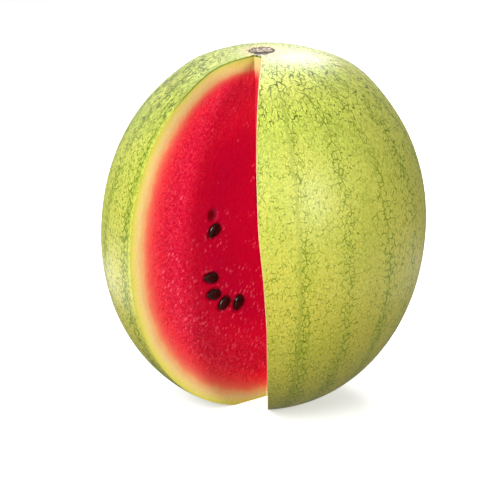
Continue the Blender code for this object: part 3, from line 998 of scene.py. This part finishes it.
def seed_shape(bm, at, normal, long_axis):
    """Add one seed at its place, a little sunk in its bed."""
    made = bmesh.ops.create_uvsphere(bm, u_segments=28, v_segments=18, radius=1)["verts"]
    for vert in made:
        x, y, z = vert.co.z, vert.co.x, vert.co.y
        narrow = 1 - 0.3 * x - 0.15 * x * x
        vert.co = (x, y * narrow, math.copysign(abs(z) ** 0.8, z) * narrow)
    size = Matrix.Diagonal((SEED_LENGTH / 2, SEED_WIDTH / 2, SEED_THICKNESS / 2, 1))
    turn = Matrix((long_axis, normal.cross(long_axis), normal)).transposed().to_4x4()
    sunk = at - normal * SEED_SUNK
    place = Matrix.Translation(FRUIT_CENTRE) @ Matrix.Scale(MM, 4) @ Matrix.Translation(sunk) @ turn @ size
    bmesh.ops.transform(bm, matrix=place, verts=made)


bm = bmesh.new()
for place in seeds_at:
    seed_shape(bm, *place)
bmesh.ops.recalc_face_normals(bm, faces=bm.faces)
seed_mesh = bpy.data.meshes.new("seeds")
bm.to_mesh(seed_mesh)
bm.free()
seed_mesh.shade_smooth()
seeds = link_mesh("seeds", seed_mesh)
print("seed faces:", len(seed_mesh.polygons))

# %% Glossy seed coat
seed_finish, tree, shader = new_finish("glossy_seed_coat")
spot = place_in_mm(tree)
coat = add(tree, "ValToRGB", {0: noise_node(2.2, 3.0, 50)}, stops=((0.35, "0e0a07"), (0.7, "2c1c12")))
tree.links.new(coat.outputs[0], shader.inputs["Base Color"])
set_values(shader, {"Roughness": 0.16, "IOR": 1.5})
seed_mesh.materials.append(seed_finish)
print("seed coat nodes:", len(tree.nodes))

# %% [markdown]
# Where the stalk broke off, the fruit closed the wound with cork: a low oval cushion with a raised rim,
# rings where the strands of the stalk ended, deep cracks, and torn fibres on the side where it tore. A
# sphere with fine, even triangles is pressed into that cushion, and noise at two sizes makes it crumble.
# It takes the place of the plain disc, in the same socket.

# %% Stem scar
SCAR_THICKNESS = 3.0
SCAR_TOP = 0.95
SCAR_LEVELS = 6
FIBRES = 26
FIBRE_LENGTH = 1.5
FIBRE_TIP = 0.1
FIBRE_LEAN = 1.1


def cork_height(x, y):
    """Height of the cork over the skin at a place in its own frame."""
    # Rings and a raised rim by the share of the way out, then crumbs of two sizes, then the cracks.
    out = math.hypot(x / (SCAR_WIDTH / 2), y / (SCAR_LENGTH / 2))
    rings = 0.16 * math.cos(out * 15) + 0.25 * float(smooth_step(0.5, 0.8, np.array(out)))
    crumbs = 0.5 * noise.noise(Vector((x, y, 3)) / 1.5) + 0.3 * noise.noise(Vector((x, y, 9)) / 0.6)
    crack = noise.voronoi(Vector((x, y, 5)) / 2.6)[0]
    torn = -0.5 * math.exp(-(((crack[1] - crack[0]) / 0.12) ** 2))
    return min(0.25 + rings + crumbs + torn, SCAR_TOP)


bm = bmesh.new()
bmesh.ops.create_icosphere(bm, subdivisions=SCAR_LEVELS, radius=1)
for vert in bm.verts:
    x, y, z = vert.co
    out = min(math.hypot(x, y), 1)
    spread = out ** 0.55 / max(out, 0.001)
    x, y = x * spread * SCAR_WIDTH / 2, y * spread * SCAR_LENGTH / 2
    edge = 1 - out**10
    vert.co = (x, y, cork_height(x, y) * edge if z > 0 else -SCAR_THICKNESS * edge)
draw = random.Random(3)
for number in range(FIBRES):
    turn = math.radians(draw.uniform(-150, -25)) if number % 3 else draw.uniform(0, 2 * math.pi)
    share = draw.uniform(0.82, 0.97)
    foot = Vector((math.cos(turn) * SCAR_WIDTH / 2 * share, math.sin(turn) * SCAR_LENGTH / 2 * share, 0.2))
    lean = Matrix.Rotation(draw.uniform(-FIBRE_LEAN, FIBRE_LEAN), 4, "X")
    lean = lean @ Matrix.Rotation(draw.uniform(-FIBRE_LEAN, FIBRE_LEAN), 4, "Y")
    fibre = Matrix.Translation(foot) @ Matrix.Rotation(turn, 4, "Z") @ lean
    size = {"radius1": draw.uniform(0.25, 0.5), "radius2": FIBRE_TIP, "depth": FIBRE_LENGTH}
    bmesh.ops.create_cone(bm, cap_ends=True, segments=5, matrix=fibre, **size)
for vert in bm.verts:
    vert.co.z = min(vert.co.z, SCAR_TOP)
to_world = Matrix.Translation(FRUIT_CENTRE) @ Matrix.Scale(MM, 4)
bmesh.ops.transform(bm, matrix=to_world @ scar_place(), verts=bm.verts)
bmesh.ops.recalc_face_normals(bm, faces=bm.faces)
scar_mesh = bpy.data.meshes.new("cork_scar")
bm.to_mesh(scar_mesh)
bm.free()
scar = link_mesh("cork_scar", scar_mesh)
set_attribute(scar_mesh, "from_middle", share_of_scar(mesh_points(scar_mesh)))
scar_mesh.shade_smooth()
print("cork faces:", len(scar_mesh.polygons))

# %% Dry cork
scar_finish, tree, shader = new_finish("dry_stem_cork")
spot = place_in_mm(tree)
CORK = ((0.33, "120a05"), (0.41, "54412f"), (0.49, "8d7a68"), (0.56, "bcad9c"), (0.63, "f6efe4"))
crumbly = noise_node(1.7, 4.0, 10, (0.4, 1.4, 1), 0.75)
cork = add(tree, "ValToRGB", {0: crumbly}, stops=CORK).outputs[0]
ragged_rim = plus(stored("from_middle"), minus(noise_node(1.6, 3.0, 30), 0.5))
dark_rim = blend(times(rise(ragged_rim, 0.84, 1.0), 0.75), cork, colour("24160c"))
in_front = fade(add(tree, "SeparateXYZ", {0: spot}).outputs["Y"], -15.5, -11.5)
torn = times(times(in_front, noise_node(1.2, 3.0, 90)), 1.5)
torn_front = blend(torn, dark_rim, colour("160d07"))
tree.links.new(torn_front, shader.inputs["Base Color"])
set_values(shader, {"Roughness": 0.85})
scar_mesh.materials.append(scar_finish)
print("cork nodes:", len(tree.nodes))

# %% [markdown]
# At the end every piece is smoothed, but for the edges that a knife left, and tied to the imported object:
# it rides its body and replaces its solid.

# %% Finish
for piece, node, slot_name in (
    (skin, "melon", "rind"),
    (flesh, "melon", "flesh"),
    (seeds, "melon", "seed"),
    (scar, "stem_scar", "stem_cork"),
):
    piece.data.shade_smooth()
    piece.data.set_sharp_from_angle(angle=math.radians(50))
    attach(piece, "root")
    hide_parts(node)
